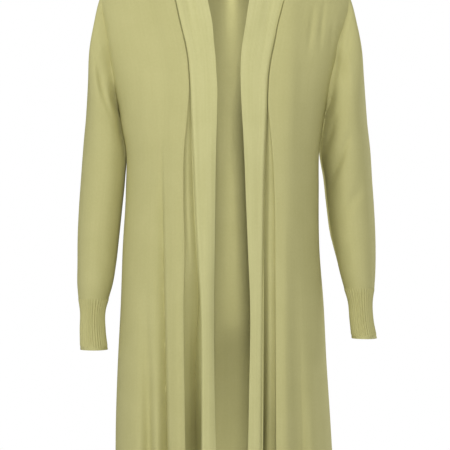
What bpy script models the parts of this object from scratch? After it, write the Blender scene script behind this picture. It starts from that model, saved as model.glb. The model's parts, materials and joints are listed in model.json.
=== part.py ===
"""An open-front cardigan in fine knit, hollow and filled out as if worn.

The front faces -Y, +Z is up and the origin lies between the shoulders at neck height.
Sides are the wearer's: the left side is +X. Tables are in millimetres, and "drop" is
the distance below the origin. Each piece of cloth is a wall: its outer face comes from
sections, and its inner face lies WALL behind it.
"""

import math

import bmesh
import bpy
import numpy as np

MM = 0.001

# Cloth
WALL = 1.5
SEAM_GAP = 0.3
NECK_GAP = 0.7
BAND_RECESS = 1.5

# Folded edges beside a pleat: the radius, how far the cloth behind the edge lies back
# from it and where it turns onto the face (in radii), and the pleat's narrowest opening
FOLD_RADIUS = 2.2
FOLD_BACK = 0.55
FOLD_TURN = 0.3
MIN_OPENING = 0.9
PLEAT_FOOT = 2.5

# Lengths below the origin
CHEST_DROP = 160.0
UNDERARM_DROP = 283.0
HEM_SEAM_DROP = 890.0
HEM_DROP = 920.0

# Shoulder line, from the neck seam out to the shoulder tip
NECK_SEAM_DROP = 9.0
NECK_SEAM_OUT = 105.0
TIP_DROP = 57.0
TIP_OUT = 214.0

# Neckline of the back and the collar that the bands make above it
NECK_BACK = 70.0
COLLAR_HALF_WIDTH = 57.0
COLLAR_BACK = 60.0
COLLAR_FORWARD = 3.0
COLLAR_SIDE_RISE = 22.0
COLLAR_BACK_RISE = 15.0
COLLAR_ROLL = 5.0
COLLAR_SINK = 0.5
NECK_LEAN = 2.5
NECK_ROUNDNESS = 2.2
NECK_EASING = (0.2, 0.05, 0.0)

# Curve from the shoulder seam down to the chest: how full it is at the top, and how far
# its lower end is pulled up and in, as shares of its height
SHOULDER_FULLNESS = 0.62
NECK_FULLNESS = 0.95
CHEST_PULL = 0.5
CHEST_LEAN = 0.1

# Free edge of a band over the shoulder: the control points (forward, up) of a curve
EDGE_CURVE = (
    (3.0, COLLAR_SIDE_RISE),
    (36.0, COLLAR_SIDE_RISE - 4.0),
    (96.0, 58.0 - CHEST_DROP),
    (99.0, -CHEST_DROP),
)

# Rows that front and back share: fractions of the yoke, then drops in mm
YOKE_ROWS = (0.0, 0.22, 0.46, 0.72)
ARMHOLE_DROPS = (CHEST_DROP, 192.0, 222.0, 247.0, 265.0, 277.0, UNDERARM_DROP)
BODY_DROPS = (315.0, 355.0, 410.0, 475.0, 545.0, 615.0, 685.0, 755.0, 825.0)

# Places across a panel, as fractions from its pleat or neck line to its outer seam
ACROSS = (0.0, 0.09, 0.18, 0.28, 0.38, 0.49, 0.60, 0.71, 0.81, 0.90, 0.96, 1.0)
NECK_STATIONS = 9
TRIM_STEP = 1e-6
YOKE_STEP = 0.02
BAND_ACROSS = (0.0, 0.3, 0.65, 1.0)


def table(columns, rows):
    """The rows as one array for each named column."""
    return dict(zip(columns, np.array(rows, float).T))


# Torso: half widths at the side seams, and depths before and behind them
TORSO = table(
    ("drop", "left", "right", "front", "back", "roundness"),
    (
        (160, 217, 222, 100, 92, 2.2),
        (222, 194, 203, 116, 102, 2.3),
        (283, 177, 182, 124, 107, 2.5),
        (340, 168, 176, 124, 106, 2.6),
        (420, 166.5, 176, 120, 103, 2.4),
        (520, 167.5, 181.5, 122, 108, 2.4),
        (620, 175, 185, 127, 117, 2.4),
        (720, 180, 190, 132, 126, 2.4),
        (820, 186.5, 193.5, 136, 133, 2.4),
        (920, 192.5, 194.5, 138, 138, 2.4),
    ),
)

# Armhole seams, as distances out from the centre
ARMHOLE = table(
    ("drop", "left", "right"),
    (
        (57, 214, 214),
        (94, 218, 217),
        (125, 210, 211.5),
        (160, 198, 203),
        (192, 191.5, 197),
        (222, 185.5, 192),
        (247, 181, 187.5),
        (265, 179, 184.5),
        (283, 177, 182),
    ),
)

# Pleats: the folded edge of the panel, the folded edge of the band, the free edge of
# the band, all out from the centre, and how deep the pleat goes in
PLEAT = {
    "right": table(
        ("drop", "panel_fold", "band_fold", "free_edge", "depth"),
        (
            (-32, 102.0, 101.0, 57.0, 10),
            (9, 102.0, 101.0, 44.0, 10),
            (93, 85.8, 84.8, 29.2, 11),
            (127, 78.4, 77.4, 22.4, 12),
            (160, 70.5, 69.5, 19.4, 13),
            (193, 62.8, 61.8, 16.2, 15),
            (217, 60.4, 59.4, 14.8, 17),
            (241, 62.4, 59.5, 13.4, 19),
            (286, 65.9, 56.6, 13.8, 22),
            (351, 66.2, 54.4, 15.5, 26),
            (437, 66.6, 51.3, 16.7, 31),
            (523, 66.9, 46.4, 17.7, 36),
            (609, 67.1, 43.0, 18.9, 40),
            (781, 65.9, 39.6, 17.5, 40),
            (920, 64.0, 39.6, 14.0, 40),
        ),
    ),
    "left": table(
        ("drop", "panel_fold", "band_fold", "free_edge", "depth"),
        (
            (-32, 116.0, 115.0, 60.0, 10),
            (9, 116.0, 115.0, 55.0, 10),
            (93, 102.0, 101.0, 41.3, 11),
            (136, 91.3, 90.3, 34.9, 12),
            (167, 85.8, 84.8, 29.9, 13),
            (191, 80.7, 79.7, 27.5, 14),
            (215, 76.9, 75.9, 26.8, 16),
            (248, 75.6, 74.4, 27.2, 18),
            (275, 76.8, 74.0, 28.4, 19),
            (311, 80.8, 73.3, 30.6, 22),
            (351, 82.2, 72.2, 32.7, 26),
            (437, 86.0, 68.8, 36.1, 32),
            (523, 88.2, 67.4, 39.6, 38),
            (609, 90.3, 66.2, 43.0, 42),
            (781, 91.2, 65.4, 41.1, 40),
            (920, 91.2, 63.6, 38.5, 40),
        ),
    ),
}

# Soft folds of the panels: the place out from the centre at the top and at the foot,
# where they start and are fullest, their half width and their depth (ridges negative)
FOLDS = {
    "front_right": table(
        ("out_top", "out_foot", "start", "full", "half_width", "depth"),
        (
            (104, 103, 330, 860, 9, 7.0),
            (80, 78, 300, 620, 13, -3.0),
            (128, 132, 560, 900, 11, 4.5),
            (118, 117, 620, 900, 8, -2.5),
        ),
    ),
    "front_left": table(
        ("out_top", "out_foot", "start", "full", "half_width", "depth"),
        (
            (116, 125, 420, 860, 11, 4.5),
            (103, 104, 330, 700, 12, -3.0),
            (138, 143, 640, 900, 10, 3.5),
        ),
    ),
    "back_right": table(
        ("out_top", "out_foot", "start", "full", "half_width", "depth"),
        (
            (70, 84, 420, 860, 18, 6.0),
            (118, 136, 520, 900, 15, 5.0),
        ),
    ),
    "back_left": table(
        ("out_top", "out_foot", "start", "full", "half_width", "depth"),
        (
            (34, 40, 460, 880, 17, 5.0),
            (96, 110, 380, 840, 18, 6.5),
        ),
    ),
}

# Sleeves and cuffs: outer and inner edges out from the centre, how far forward the
# middle lies, the half depth and how flat the side next to the body is
SLEEVE_COLUMNS = ("drop", "outer", "inner", "forward", "half_depth", "flatness")
SLEEVE = {
    "right": table(
        SLEEVE_COLUMNS,
        (
            (300, 247.8, 182.4, 0, 56, 3.0),
            (320, 249.9, 179.6, -1, 56, 3.0),
            (342, 251.9, 177.4, -2, 55, 3.0),
            (400, 256.3, 178.0, -3, 52, 2.6),
            (450, 259.7, 182.8, -2, 50, 2.2),
            (500, 261.7, 187.8, 2, 47, 2.0),
            (550, 261.7, 193.3, 7, 43, 2.0),
            (585, 261.7, 199.0, 11, 38, 2.0),
            (608, 259.8, 205.5, 13, 33, 2.0),
        ),
    ),
    "left": table(
        SLEEVE_COLUMNS,
        (
            (300, 252.8, 176.9, 0, 56, 3.0),
            (320, 255.2, 172.0, -1, 56, 3.0),
            (342, 257.8, 169.6, -2, 55, 3.0),
            (400, 261.7, 176.2, -3, 52, 2.6),
            (450, 265.0, 181.4, -1, 50, 2.2),
            (500, 267.0, 188.0, 4, 47, 2.0),
            (545, 267.0, 199.2, 9, 43, 2.0),
            (570, 266.0, 205.0, 12, 38, 2.0),
            (590, 264.6, 210.5, 14, 33, 2.0),
        ),
    ),
}
SLEEVE_DROPS = {
    "right": (300, 320, 342, 372, 404, 440, 480, 520, 558, 585, 608),
    "left": (300, 320, 342, 372, 404, 436, 470, 506, 542, 570, 590),
}
CUFF = {
    "right": table(
        SLEEVE_COLUMNS,
        (
            (608, 259.8, 205.5, 13, 33, 2.0),
            (630, 256.3, 211.8, 14, 30, 2.0),
            (667, 256.3, 211.8, 17, 30, 2.0),
            (700, 255.4, 207.5, 20, 32, 2.0),
        ),
    ),
    "left": table(
        SLEEVE_COLUMNS,
        (
            (590, 264.6, 210.5, 14, 33, 2.0),
            (614, 260.8, 217.8, 15, 30, 2.0),
            (646, 261.9, 220.9, 17, 30, 2.0),
            (680, 268.2, 224.3, 20, 32, 2.0),
        ),
    ),
}
CUFF_RIBS = 40
CUFF_ROWS = 5
RIB_HEIGHT = 0.8

# Folds across the sleeves: the drop and the side they lie on (degrees round from the
# outer edge over the front), their slant, half width and depth
SLEEVE_FOLDS = {
    "right": table(
        ("drop", "turn", "slant", "half_width", "spread", "depth"),
        (
            (205, 70, 0.9, 12, 45, 3.0),
            (470, 110, -0.5, 12, 60, 3.0),
        ),
    ),
    "left": table(
        ("drop", "turn", "slant", "half_width", "spread", "depth"),
        (
            (345, 110, -1.0, 12, 55, 5.0),
            (455, 60, -0.6, 14, 60, 3.5),
        ),
    ),
}

# Below this drop the sleeve lies against the body at its seam
VALLEY_DROP = 175.0

# Sleeve head: its rows as shares of the way down, the length of its curves' handles, and
# how much they point outward and down at the armhole, in all and by the side they lie on
HEAD_ROWS = (0.0, 0.13, 0.3, 0.5, 0.72)
HEAD_START = 0.28
HEAD_END = 0.42
HEAD_OUTWARD = {"all": 0.3, "front_and_back": 0.6, "outer": 0.15}
HEAD_DOWN = {"all": 0.5, "outer_and_inner": 0.45}
HEAD_FORWARD = 0.35
HEAD_TUCK = 0.08

CLOTH_COLOURS = {
    "body": (0.49, 0.46, 0.21),
    "band": (0.54, 0.51, 0.26),
    "rib": (0.45, 0.43, 0.19),
}
CLOTH_ROUGHNESS = 0.9
CLOTH_METALLIC = 0.0

OUT = {"left": 1.0, "right": -1.0}


def read(sheet, column, drop):
    """A column of a table at a drop, on a smooth curve through its rows."""
    knots = sheet["drop"]
    values = sheet[column]
    slopes = np.gradient(values, knots)
    drop = min(max(drop, knots[0]), knots[-1])
    index = min(np.searchsorted(knots, drop, side="right") - 1, len(knots) - 2)
    span = knots[index + 1] - knots[index]
    t = (drop - knots[index]) / span
    start_weight = 2 * t**3 - 3 * t**2 + 1
    start_slope = t**3 - 2 * t**2 + t
    end_slope = t**3 - t**2
    return (
        start_weight * values[index]
        + (1 - start_weight) * values[index + 1]
        + span * (start_slope * slopes[index] + end_slope * slopes[index + 1])
    )


def bezier(points, t):
    """A point on a cubic curve."""
    a, b, c, d = (np.array(point, float) for point in points)
    u = 1 - t
    return a * u**3 + b * 3 * u**2 * t + c * 3 * u * t**2 + d * t**3


def unit(vector):
    """The vector at length one."""
    return vector / max(np.linalg.norm(vector), 1e-9)


def section_depth(side, face, out, drop):
    """How far the torso lies before or behind the side seams at a distance out."""
    half = read(TORSO, side, drop)
    power = read(TORSO, "roundness", drop)
    share = min(abs(out) / half, 1.0)
    return read(TORSO, face, drop) * (1 - share**power) ** (1 / power)


def outer_edge(side, drop):
    """The armhole, or the side seam below it, as a distance out."""
    if drop < UNDERARM_DROP:
        return read(ARMHOLE, side, drop)
    return read(TORSO, side, drop)


def ridge_drop(out):
    """The drop of the shoulder seam at a distance out."""
    share = (out - NECK_SEAM_OUT) / (TIP_OUT - NECK_SEAM_OUT)
    return NECK_SEAM_DROP + (TIP_DROP - NECK_SEAM_DROP) * share


def fold_line(side, drop):
    """Where the flat of a front begins, beside its folded edge."""
    return read(PLEAT[side], "panel_fold", drop) + FOLD_RADIUS


def fold_shift(name, out, drop):
    """How far the soft folds of a panel move it inward."""
    shift = 0.0
    sheet = FOLDS[name]
    for index in range(len(sheet["depth"])):
        fold = {column: values[index] for column, values in sheet.items()}
        along = (drop - fold["start"]) / (fold["full"] - fold["start"])
        if along <= 0:
            continue
        along = min(along, 1.0)
        strength = ease(along)
        place = fold["out_top"] + (fold["out_foot"] - fold["out_top"]) * along
        shift += fold["depth"] * strength * math.exp(-(((out - place) / fold["half_width"]) ** 2))
    return shift


def panel_point(side, face, across, row):
    """A point (out, forward, up) on the outer face of a front or half of the back.

    A row up to 1 is a fraction of the yoke, and a larger one is a drop.
    """
    drop = max(row, CHEST_DROP)
    inner = fold_line(side, drop)
    out = inner + (outer_edge(side, drop) - inner) * across
    depth = section_depth(side, face, out, drop) - fold_shift(f"{face}_{side}", out, drop)
    if row > 1:
        return np.array((out, depth, -drop))
    neck_out = fold_line(side, NECK_SEAM_DROP)
    ridge_out = neck_out + (TIP_OUT - neck_out) * across
    forward, up = yoke_curve(ridge_drop(ridge_out), depth, row)
    line = neck_out + (inner - neck_out) * ease(row)
    if face == "front":
        fold_depth = section_depth(side, face, inner, CHEST_DROP)
        fold_drop = -yoke_curve(ridge_drop(neck_out), fold_depth, row)[1]
        correction = neck_out - fold_line(side, ridge_drop(neck_out))
        line = fold_line(side, fold_drop) + correction * (1 - row)
    edge = outer_edge(side, -yoke_curve(TIP_DROP, depth, row)[1])
    return np.array((line + (edge - line) * across, forward, up))


def yoke_curve(top_drop, depth, row, fullness=SHOULDER_FULLNESS):
    """A point (forward, up) on the curve from the shoulder seam down to the chest."""
    rise = CHEST_DROP - top_drop
    top = np.array((0.0, -top_drop))
    foot = np.array((depth, -CHEST_DROP))
    leave = (fullness * depth, 0.0)
    pull = (-CHEST_LEAN * rise, CHEST_PULL * rise)
    return bezier((top, top + leave, foot + pull, foot), row)


def ease(share):
    """A share from 0 to 1 with a soft start and end."""
    return share * share * (3 - 2 * share)


def row_normal(side, row):
    """The outward direction (forward, up) of a front at its pleat."""
    if row > 1:
        return np.array((1.0, 0.0))
    if row < YOKE_STEP:
        return np.array((0.0, 1.0))
    before = panel_point(side, "front", 0.0, row - YOKE_STEP)
    after = panel_point(side, "front", 0.0, min(row + YOKE_STEP, 1.0))
    tangent = unit((after - before)[1:])
    return np.array((-tangent[1], tangent[0]))


def pleat_parts(side, row):
    """The pleat at a row: its fold lines, its foot and the direction out of the cloth."""
    start = panel_point(side, "front", 0.0, row)
    drop = -start[2]
    normal = row_normal(side, row)
    opening = read(PLEAT[side], "panel_fold", drop) - read(PLEAT[side], "band_fold", drop)
    panel_fold = start[0] - FOLD_RADIUS
    band_fold = panel_fold - max(opening, MIN_OPENING)
    depth = read(PLEAT[side], "depth", drop)
    foot_out = band_fold + min(PLEAT_FOOT, (panel_fold - band_fold) / 2)
    return start, normal, panel_fold, band_fold, foot_out, depth


def lowered(start, normal, out, depth):
    """A point at a distance out, a depth below the face at the start point."""
    return np.array((out, start[1] - depth * normal[0], start[2] - depth * normal[1]))


def folded_edge(start, normal, edge, foot, recess):
    """The cloth from the foot of a pleat round its folded edge to the face."""
    radius = math.copysign(FOLD_RADIUS, edge - foot[0])
    behind = lowered(start, normal, edge + FOLD_BACK * radius, 2 * FOLD_RADIUS + recess)
    turn_depth = FOLD_TURN * FOLD_RADIUS + recess
    return [
        foot,
        (foot + behind) / 2,
        behind,
        lowered(start, normal, edge, FOLD_RADIUS + recess),
        lowered(start, normal, edge + FOLD_TURN * radius, turn_depth),
    ]


def front_section(side, row):
    """A front's outer face at a row, from the foot of the pleat to the outer seam."""
    start, normal, panel_fold, _, foot_out, depth = pleat_parts(side, row)
    foot = lowered(start, normal, foot_out + SEAM_GAP / 2, depth)
    points = folded_edge(start, normal, panel_fold, foot, 0.0)
    points += [panel_point(side, "front", across, row) for across in ACROSS]
    return points


def free_edge(side, row):
    """The free edge of a band at a row."""
    if row > 1:
        out = read(PLEAT[side], "free_edge", row)
        return np.array((out, section_depth(side, "front", out, row) - BAND_RECESS, -row))
    forward, up = bezier(EDGE_CURVE, row)
    return np.array((read(PLEAT[side], "free_edge", -up), forward, up))


def band_section(side, row):
    """A band's outer face at a row, from the foot of the pleat to its free edge."""
    start, normal, _, band_fold, foot_out, depth = pleat_parts(side, row)
    lean = NECK_LEAN * max(1 - row, 0) ** 2
    foot = lowered(start, normal, foot_out - SEAM_GAP / 2 - lean, depth)
    first = lowered(start, normal, band_fold - FOLD_RADIUS, BAND_RECESS)
    last = free_edge(side, row)
    points = folded_edge(start, normal, band_fold, foot, BAND_RECESS)
    for across in BAND_ACROSS:
        point = first + (last - first) * across
        if row > 1 and across < 1:
            point[1] = section_depth(side, "front", point[0], row) - BAND_RECESS
        points.append(point)
    return points


def neckline_turn(station):
    """A neckline station as a number from -1 at the right to 1 at the left."""
    return -math.cos(math.pi * station / (NECK_STATIONS + 1))


def roundness(turn):
    """How far back the neckline lies at a turn, as a share of its depth."""
    return (1 - abs(turn) ** NECK_ROUNDNESS) ** (1 / NECK_ROUNDNESS)


def neck_ends():
    """The two ends of the back neckline, as X."""
    right = -fold_line("right", NECK_SEAM_DROP)
    left = fold_line("left", NECK_SEAM_DROP)
    return right, left


def neck_column(turn, row):
    """A point (x, backward, up) of the back below a place on the neckline."""
    right, left = neck_ends()
    share = (turn + 1) / 2
    drop = max(row, CHEST_DROP)
    foot_x = fold_line("left", drop) * share - fold_line("right", drop) * (1 - share)
    side = "left" if foot_x > 0 else "right"
    out = abs(foot_x)
    depth = section_depth(side, "back", out, drop) - fold_shift(f"back_{side}", out, drop)
    if row > 1:
        return np.array((foot_x, depth, -drop))
    top_x = right + (left - right) * share
    top_drop = ridge_drop(-right) * (1 - share) + ridge_drop(left) * share
    fullness = NECK_FULLNESS + (SHOULDER_FULLNESS - NECK_FULLNESS) * abs(turn) ** 3
    neck_depth = NECK_BACK * roundness(turn)
    start, end = 0.0, 1.0
    while end - start > TRIM_STEP:
        middle = (start + end) / 2
        if yoke_curve(top_drop, depth, middle, fullness)[0] < neck_depth:
            start = middle
        else:
            end = middle
    along = start + (1 - start) * row
    backward, up = yoke_curve(top_drop, depth, along, fullness)
    return np.array((top_x + (foot_x - top_x) * ease(along), backward, up))


def to_world(point, side, face):
    """A point (out, depth, up) of one side as world coordinates."""
    forward = -1.0 if face == "front" else 1.0
    return np.array((OUT[side] * point[0], forward * point[1], point[2]))


def back_section(row):
    """The back's outer face at a row, from the right outer seam to the left one."""
    points = []
    for across in reversed(ACROSS):
        points.append(to_world(panel_point("right", "back", across, row), "right", "back"))
    for station in range(1, NECK_STATIONS + 1):
        points.append(neck_column(neckline_turn(station), row))
    for across in ACROSS:
        points.append(to_world(panel_point("left", "back", across, row), "left", "back"))
    return points


def neck_section(side, turn, ridge_offsets, weight):
    """A band's section behind the neck, eased out of its pleat at the shoulder."""
    seam = neck_column(turn, 0.0)
    right, left = neck_ends()
    middle = (right + left) / 2
    backward = (COLLAR_BACK + COLLAR_FORWARD) * roundness(turn) - COLLAR_FORWARD
    edge_middle = middle * (1 - abs(turn)) + turn * COLLAR_HALF_WIDTH
    rise = COLLAR_BACK_RISE + (COLLAR_SIDE_RISE - COLLAR_BACK_RISE) * turn * turn
    edge = np.array((edge_middle, backward, rise))
    inward = unit((edge - seam) * (1, 1, 0))
    count = len(ridge_offsets)
    points = []
    for index in range(count):
        share = index / (count - 1)
        point = seam + (edge - seam) * share
        roll = COLLAR_ROLL * math.sin(math.pi * share)
        point = point - (inward + (0, 0, COLLAR_SINK)) * roll
        offset = ridge_offsets[index] * weight
        points.append(point + inward * offset[0] + np.array((0, 0, offset[1])))
    points[0] = seam
    return points


def band_grid(side):
    """The whole outer face of a band, from the hem to the middle of the back neck."""
    rows = [HEM_DROP, HEM_SEAM_DROP, *reversed(BODY_DROPS), *reversed(ARMHOLE_DROPS)]
    rows += reversed(YOKE_ROWS)
    grid = [[to_world(p, side, "front") for p in band_section(side, row)] for row in rows]
    ridge = grid[-1]
    inward = np.array((-OUT[side], 0.0, 0.0))
    offsets = []
    for index, point in enumerate(ridge):
        share = index / (len(ridge) - 1)
        straight = ridge[0] + (ridge[-1] - ridge[0]) * share
        offsets.append(((point - straight) @ inward, (point - straight)[2]))
    offsets = np.array(offsets)
    middle_station = (NECK_STATIONS + 1) // 2
    for station in range(1, middle_station + 1):
        turn = neckline_turn(station) * -OUT[side]
        weight = NECK_EASING[min(station, len(NECK_EASING)) - 1]
        grid.append(neck_section(side, turn, offsets, weight))
    return np.array(grid)


def front_grid(side, rows):
    """The outer face of a front over the rows."""
    sections = [front_section(side, row) for row in rows]
    return np.array([[to_world(p, side, "front") for p in section] for section in sections])


def ring_point(side, sheet, drop, turn):
    """A point of a sleeve or cuff ring, turned from its outer edge over the front."""
    outer = read(sheet, "outer", drop)
    inner = read(sheet, "inner", drop)
    cosine, sine = math.cos(turn), math.sin(turn)
    power = 1.0 if cosine > 0 else 2.0 / read(sheet, "flatness", drop)
    aside = math.copysign(abs(cosine) ** power, cosine)
    ahead = math.copysign(abs(sine) ** power, sine)
    out = (outer + inner) / 2 + (outer - inner) / 2 * aside
    forward = read(sheet, "forward", drop) + read(sheet, "half_depth", drop) * ahead
    return to_world((out, forward, -drop), side, "front")


def head_curve(side, start, end, turn):
    """The curve of a sleeve head from the armhole down to the sleeve's first ring."""
    cosine, sine = math.cos(turn), math.sin(turn)
    outward = np.array((OUT[side], 0.0, 0.0))
    fall = HEAD_DOWN["all"] + HEAD_DOWN["outer_and_inner"] * cosine**2
    down = np.array((0.0, -HEAD_FORWARD * sine, -fall))
    spread = HEAD_OUTWARD["all"] + HEAD_OUTWARD["front_and_back"] * sine**2
    leave = unit(outward * (spread + HEAD_OUTWARD["outer"] * cosine) + down)
    arrive = np.array((0.0, 0.0, 1.0)) - outward * HEAD_TUCK * max(cosine, 0.0)
    reach = np.linalg.norm(end - start)
    return start, start + leave * reach * HEAD_START, end + arrive * reach * HEAD_END, end


def sleeve_shift(side, drop, turn):
    """How far the folds of a sleeve move it inward."""
    shift = 0.0
    sheet = SLEEVE_FOLDS[side]
    degrees = math.degrees(turn)
    for index in range(len(sheet["depth"])):
        fold = {column: values[index] for column, values in sheet.items()}
        around = degrees - fold["turn"]
        line = fold["drop"] + fold["slant"] * around
        across = (drop - line) / fold["half_width"]
        shift += fold["depth"] * math.exp(-(across**2) - (around / fold["spread"]) ** 2)
    return shift


def sleeve_grid(side, front, back):
    """The outer face of a sleeve, from the armhole to the cuff seam."""
    armhole_rows = len(YOKE_ROWS) + len(ARMHOLE_DROPS)
    front_edge = front[:armhole_rows, -1]
    back_edge = back[:armhole_rows, -1 if side == "left" else 0]
    armhole = np.concatenate((front_edge, back_edge[-2:0:-1]))
    count = len(armhole)
    turns = [2 * math.pi * index / count for index in range(count)]
    sheet = SLEEVE[side]
    rings = [[ring_point(side, sheet, drop, turn) for turn in turns] for drop in SLEEVE_DROPS[side]]
    curves = [head_curve(side, *ends) for ends in zip(armhole, rings[0], turns)]
    grid = [[bezier(curve, share) for curve in curves] for share in HEAD_ROWS] + rings
    grid = np.array(grid)
    normals = face_directions(grid, True, outside_of(grid))
    for row_index in range(1, len(grid) - 1):
        for index, turn in enumerate(turns):
            depth = sleeve_shift(side, -grid[row_index, index, 2], turn)
            grid[row_index, index] -= normals[row_index, index] * depth
    return grid


def cuff_grid(side):
    """A cuff's plain outer face, with two points for each rib."""
    sheet = CUFF[side]
    drops = np.linspace(sheet["drop"][0], sheet["drop"][-1], CUFF_ROWS)
    turns = [math.pi * (index + 0.5) / CUFF_RIBS for index in range(2 * CUFF_RIBS)]
    return np.array([[ring_point(side, sheet, drop, turn) for turn in turns] for drop in drops])


def outside_of(grid):
    """Tells which way is outward on a ring: away from the middle of its row."""
    return grid - grid.mean(axis=1, keepdims=True)


def face_directions(grid, closed, outside):
    """The outward direction at each point of a grid."""
    if closed:
        along = np.roll(grid, -1, axis=1) - np.roll(grid, 1, axis=1)
    else:
        along = np.gradient(grid, axis=1)
    down = np.gradient(grid, axis=0)
    normals = np.cross(along, down)
    normals /= np.maximum(np.linalg.norm(normals, axis=2, keepdims=True), 1e-9)
    if (normals * outside).sum() < 0:
        normals = -normals
    return normals


def new_piece(name, grid, outside, colour, closed=False):
    """A piece of cloth before its wall is made."""
    return {
        "name": name,
        "outer": grid,
        "normals": face_directions(grid, closed, outside),
        "closed": closed,
        "colour": colour,
    }


def leaving(piece, index, slanted):
    """The directions in which a piece leaves the borders that a point lies on."""
    grid = piece["outer"]
    row, column = index
    last_row, last_column = grid.shape[0] - 1, grid.shape[1] - 1
    steps = []
    if not piece["closed"] and column in (0, last_column):
        down = 1 if slanted and row < last_row else 0
        steps.append((row + down, 1 if column == 0 else last_column - 1))
    if row in (0, last_row):
        steps.append((1 if row == 0 else last_row - 1, column))
    return [unit(grid[step] - grid[index]) for step in steps]


def is_valley(names, point):
    """Whether the faces that meet at a seam point turn towards each other."""
    if any(name.startswith("band") for name in names):
        return True
    return any(name.startswith("sleeve") for name in names) and point[2] < -VALLEY_DROP


def share_seams(pieces):
    """Gives pieces that meet at a seam one direction there, and draws their ends apart."""
    meeting = {}
    for piece in pieces:
        piece["draw"] = np.zeros_like(piece["outer"])
        for index in np.ndindex(piece["outer"].shape[:2]):
            if leaving(piece, index, False):
                key = tuple(np.round(piece["outer"][index], 1) + 0.0)
                meeting.setdefault(key, []).append((piece, index))
    for members in meeting.values():
        names = {piece["name"] for piece, _ in members}
        point = members[0][0]["outer"][members[0][1]]
        valley = 1.0 if len(names) > 1 and is_valley(names, point) else 0.0
        at_neck = "back" in names and len(names) > 1 and any("band" in name for name in names)
        gap = NECK_GAP if at_neck else SEAM_GAP
        total = np.zeros(3)
        for piece, index in members:
            slanted = valley > 0 and not piece["name"].startswith("band")
            leaves = leaving(piece, index, slanted)
            total += piece["normals"][index] + valley * unit(sum(leaves))
        shared = unit(total)
        for piece, index in members:
            slanted = valley > 0 and not piece["name"].startswith("band")
            own = piece["normals"][index].copy()
            for leave in leaving(piece, index, slanted):
                aim = leave - valley * own
                aim = aim - shared * (aim @ shared)
                piece["draw"][index] += unit(aim) * gap / 2
            piece["normals"][index] = shared


def ribbed(outer, normals, height):
    """Every second point of each row raised, as a rib."""
    raised = outer.copy()
    raised[:, 1::2] += normals[:, 1::2] * height
    return raised


def make_wall(piece, rib_height=0.0):
    """The closed solid of a piece: outer face, inner face and the edges between them."""
    closed = piece["closed"]
    outer = piece["outer"] + piece["draw"]
    inner = outer - piece["normals"] * WALL
    if rib_height:
        outer = ribbed(outer, piece["normals"], rib_height)
    rows, columns = outer.shape[:2]
    shape = bmesh.new()
    layers = []
    for layer in (outer, inner):
        layers.append([[shape.verts.new(tuple(p * MM)) for p in row] for row in layer])
    front, behind = layers
    spans = columns if closed else columns - 1
    for row in range(rows - 1):
        for column in range(spans):
            after = (column + 1) % columns
            for sheet in (front, behind):
                corners = (sheet[row][column], sheet[row][after])
                shape.faces.new((*corners, sheet[row + 1][after], sheet[row + 1][column]))
    for row in (0, rows - 1):
        for column in range(spans):
            after = (column + 1) % columns
            shape.faces.new(
                (front[row][column], front[row][after], behind[row][after], behind[row][column])
            )
    if not closed:
        for column in (0, columns - 1):
            for row in range(rows - 1):
                shape.faces.new(
                    (
                        front[row][column],
                        front[row + 1][column],
                        behind[row + 1][column],
                        behind[row][column],
                    )
                )
    bmesh.ops.triangulate(shape, faces=shape.faces[:])
    bmesh.ops.recalc_face_normals(shape, faces=shape.faces[:])
    mesh = bpy.data.meshes.new(piece["name"])
    shape.to_mesh(mesh)
    shape.free()
    mesh.shade_smooth()
    body = bpy.data.objects.new(piece["name"], mesh)
    bpy.context.collection.objects.link(body)
    return body


def cloth_material(name, colour):
    """A plain knitted cloth."""
    material = bpy.data.materials.new(name)
    material.use_nodes = True
    shader = material.node_tree.nodes["Principled BSDF"]
    shader.inputs["Base Color"].default_value = (*colour, 1.0)
    shader.inputs["Roughness"].default_value = CLOTH_ROUGHNESS
    shader.inputs["Metallic"].default_value = CLOTH_METALLIC
    return material


def split_hem(whole):
    """A piece of the body down to its hem seam, and the ribbed hem below it."""
    parts = []
    for rows, changes in (
        (slice(0, -1), {}),
        (slice(-2, None), {"name": f"hem_{whole['name']}", "colour": "rib"}),
    ):
        part = dict(whole, **changes)
        part["outer"] = whole["outer"][rows].copy()
        part["normals"] = whole["normals"][rows].copy()
        parts.append(part)
    return parts


def main():
    for old in list(bpy.data.objects):
        bpy.data.objects.remove(old)
    body_rows = [*YOKE_ROWS, *ARMHOLE_DROPS, *BODY_DROPS, HEM_SEAM_DROP, HEM_DROP]
    middle = np.array((0.0, 0.0, -HEM_DROP / 2))
    back = np.array([back_section(row) for row in body_rows])
    fronts = {side: front_grid(side, body_rows) for side in OUT}
    pieces = split_hem(new_piece("back", back, back - middle, "body"))
    for side in OUT:
        front = fronts[side]
        pieces += split_hem(new_piece(f"front_{side}", front, front - middle, "body"))
        band = band_grid(side)
        pieces.append(new_piece(f"band_{side}", band, band - middle, "band"))
        sleeve = sleeve_grid(side, front, back)
        pieces.append(new_piece(f"sleeve_{side}", sleeve, outside_of(sleeve), "body", True))
        cuff = cuff_grid(side)
        pieces.append(new_piece(f"cuff_{side}", cuff, outside_of(cuff), "rib", True))
    share_seams(pieces)
    for piece in pieces:
        height = RIB_HEIGHT if piece["name"].startswith("cuff") else 0.0
        body = make_wall(piece, height)
        name = f"{piece['name']}_cloth"
        body.data.materials.append(cloth_material(name, CLOTH_COLOURS[piece["colour"]]))


main()
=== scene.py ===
"""Looks of the open-front cardigan: fine knitted shells that stand for the CAD walls.

Tables are in millimetres and follow the part's source. "drop" is the distance below the
origin, "out" the distance from the centre, and the sides are the wearer's (left is +X).
"""

import json
import math

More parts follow.
